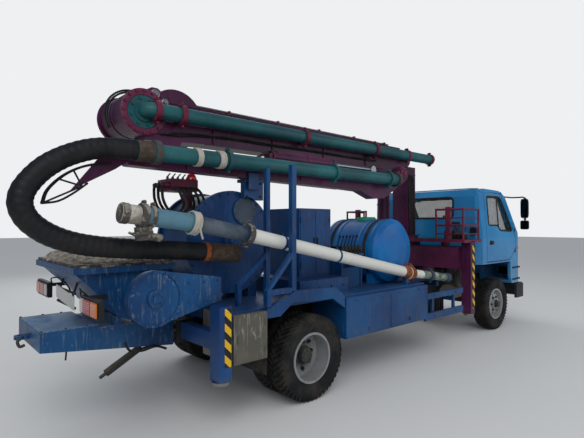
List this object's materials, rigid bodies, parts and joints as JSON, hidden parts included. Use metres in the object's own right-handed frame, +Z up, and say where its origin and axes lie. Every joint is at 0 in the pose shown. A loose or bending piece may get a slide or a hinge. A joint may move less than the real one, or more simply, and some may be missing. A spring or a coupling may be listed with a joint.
{
  "type": "truck-mounted concrete boom pump",
  "caption": "Light lorry with a squeeze concrete pump, hopper, water barrel, outriggers and a folding placing boom with its end hose stowed.",
  "frame": {"origin": "on the ground, under the middle of the bounding box", "axes": "+X forward, +Y to the left, +Z up; rear axle at X -1.437 m"},
  "size_m": [7.6747, 2.31, 2.9948],
  "materials": {
    "chassis_black": "dusty black chassis paint",
    "engine_grey": "oily grey casting",
    "deck_blue": "worn dark blue paint with concrete dust",
    "lamp_red": "red and amber lenses in a dark housing",
    "pipe_white": "chalky off-white paint",
    "barrel_blue": "bright blue paint",
    "boom_plum": "weathered dark plum paint",
    "platform_red": "worn dark red paint",
    "bumper_grey": "dark grey paint",
    "box_grey": "dusty grey metal",
    "cab_blue": "mid blue gloss paint",
    "glass": "clear tinted glass",
    "trim_dark": "dark grained plastic",
    "tyre": "dusty black tyre",
    "rim_silver": "silver wheel paint",
    "pipe_teal": "worn teal paint",
    "hose_rubber": "matt black reinforced rubber",
    "rod_chrome": "ground and chromed rod",
    "grate_steel": "steel bars with concrete residue"
  },
  "bodies": {
    "truck": {"frame": "chassis_black", "axles": "chassis_black", "engine": "engine_grey", "deck": "deck_blue", "rear_step": "deck_blue", "hopper": "deck_blue", "lamps": "lamp_red", "pump_drum": "deck_blue", "rack": "deck_blue", "delivery_pipe": "pipe_white", "valve_block": "platform_red", "beacon": "lamp_red", "control_cabinet": "deck_blue", "water_barrel": "barrel_blue", "outrigger_housings": "boom_plum", "mast": "boom_plum", "platform": "platform_red", "bumper": "bumper_grey", "side_tanks": "box_grey", "luff_cylinder": "boom_plum"},
    "cab": {"cab_shell": "cab_blue", "cab_glass": "glass", "cab_interior": "trim_dark", "mirrors": "trim_dark"},
    "door_left": {"door_left": "cab_blue", "door_glass_left": "glass"},
    "door_right": {"door_right": "cab_blue", "door_glass_right": "glass"},
    "knuckle_left": {"knuckle_left": "chassis_black"},
    "knuckle_right": {"knuckle_right": "chassis_black"},
    "front_wheel_left": {"front_tyre_left": "tyre", "front_rim_left": "rim_silver"},
    "front_wheel_right": {"front_tyre_right": "tyre", "front_rim_right": "rim_silver"},
    "rear_wheels_left": {"rear_tyres_left": "tyre", "rear_rims_left": "rim_silver"},
    "rear_wheels_right": {"rear_tyres_right": "tyre", "rear_rims_right": "rim_silver"},
    "boom_1": {"boom_1": "boom_plum"},
    "boom_2": {"boom_2": "boom_plum", "pipe_2": "pipe_teal"},
    "boom_3": {"boom_3": "boom_plum", "boom_3_root": "boom_plum", "hose_guide": "boom_plum", "pipe_3": "pipe_teal", "end_hose": "hose_rubber"},
    "luff_rod": {"luff_rod": "rod_chrome"},
    "fold_rod": {"fold_rod": "rod_chrome"},
    "beam_left": {"beam_left": "boom_plum"},
    "beam_right": {"beam_right": "boom_plum"},
    "jack_front_left": {"jack_front_left": "rod_chrome"},
    "jack_front_right": {"jack_front_right": "rod_chrome"},
    "jack_rear_left": {"jack_rear_left": "rod_chrome"},
    "jack_rear_right": {"jack_rear_right": "rod_chrome"},
    "hopper_grate": {"hopper_grate": "grate_steel"}
  },
  "joints": [
    {"name": "steer_left", "type": "hinge", "parent": "truck", "child": "knuckle_left", "pos_m": [2.738, 0.7, 0.402], "axis": [0, 0, 1], "range_deg": [-33, 33]},
    {"name": "steer_right", "type": "hinge", "parent": "truck", "child": "knuckle_right", "pos_m": [2.738, -0.7, 0.402], "axis": [0, 0, 1], "range_deg": [-33, 33]},
    {"name": "spin_front_left", "type": "hinge", "parent": "knuckle_left", "child": "front_wheel_left", "pos_m": [2.738, 0.842, 0.402], "axis": [0, 1, 0], "continuous": true},
    {"name": "spin_front_right", "type": "hinge", "parent": "knuckle_right", "child": "front_wheel_right", "pos_m": [2.738, -0.842, 0.402], "axis": [0, 1, 0], "continuous": true},
    {"name": "spin_rear_left", "type": "hinge", "parent": "truck", "child": "rear_wheels_left", "pos_m": [-1.437, 0.84, 0.402], "axis": [0, 1, 0], "continuous": true},
    {"name": "spin_rear_right", "type": "hinge", "parent": "truck", "child": "rear_wheels_right", "pos_m": [-1.437, -0.84, 0.402], "axis": [0, 1, 0], "continuous": true},
    {"name": "cab_tilt", "type": "hinge", "parent": "truck", "child": "cab", "pos_m": [3.763, 0, 0.715], "axis": [0, 1, 0], "range_deg": [0, 40]},
    {"name": "door_left_hinge", "type": "hinge", "parent": "cab", "child": "door_left", "pos_m": [3.366, 0.985, 1.4], "axis": [0, 0, -1], "range_deg": [0, 68]},
    {"name": "door_right_hinge", "type": "hinge", "parent": "cab", "child": "door_right", "pos_m": [3.366, -0.985, 1.4], "axis": [0, 0, 1], "range_deg": [0, 68]},
    {"name": "luff", "type": "hinge", "parent": "truck", "child": "boom_1", "pos_m": [1.663, 0.11, 2.68], "axis": [0, 1, 0], "range_deg": [0, 80]},
    {"name": "fold_1", "type": "hinge", "parent": "boom_1", "child": "boom_2", "pos_m": [-2.747, 0.1, 2.64], "axis": [0, -1, 0], "range_deg": [0, 180]},
    {"name": "fold_2", "type": "hinge", "parent": "boom_2", "child": "boom_3", "pos_m": [0.763, -0.5, 2.34], "axis": [0, 1, 0], "range_deg": [0, 180]},
    {"name": "luff_rod_slide", "type": "slide", "parent": "truck", "child": "luff_rod", "axis": [0, 0, 1], "range_m": [0, 0.7226]},
    {"name": "fold_rod_slide", "type": "slide", "parent": "boom_3", "child": "fold_rod", "axis": [-1, 0, 0], "range_m": [0, 0.62]},
    {"name": "beam_slide_left", "type": "slide", "parent": "truck", "child": "beam_left", "axis": [0, 1, 0], "range_m": [0, 0.55]},
    {"name": "beam_slide_right", "type": "slide", "parent": "truck", "child": "beam_right", "axis": [0, -1, 0], "range_m": [0, 0.55]},
    {"name": "jack_slide_front_left", "type": "slide", "parent": "beam_left", "child": "jack_front_left", "axis": [0, 0, -1], "range_m": [0, 0.37]},
    {"name": "jack_slide_front_right", "type": "slide", "parent": "beam_right", "child": "jack_front_right", "axis": [0, 0, -1], "range_m": [0, 0.37]},
    {"name": "jack_slide_rear_left", "type": "slide", "parent": "truck", "child": "jack_rear_left", "axis": [0, 0, -1], "range_m": [0, 0.37]},
    {"name": "jack_slide_rear_right", "type": "slide", "parent": "truck", "child": "jack_rear_right", "axis": [0, 0, -1], "range_m": [0, 0.37]},
    {"name": "grate_hinge", "type": "hinge", "parent": "truck", "child": "hopper_grate", "pos_m": [-2.611, 0, 1.33], "axis": [0, 1, 0], "range_deg": [0, 85]}
  ],
  "couplings": [
    {"joint": "steer_right", "follows": "steer_left", "ratio": 1},
    {"joint": "luff_rod_slide", "follows": "luff", "m_per_rad": 0.51745},
    {"joint": "fold_rod_slide", "follows": "fold_2", "m_per_rad": 0.19732}
  ]
}
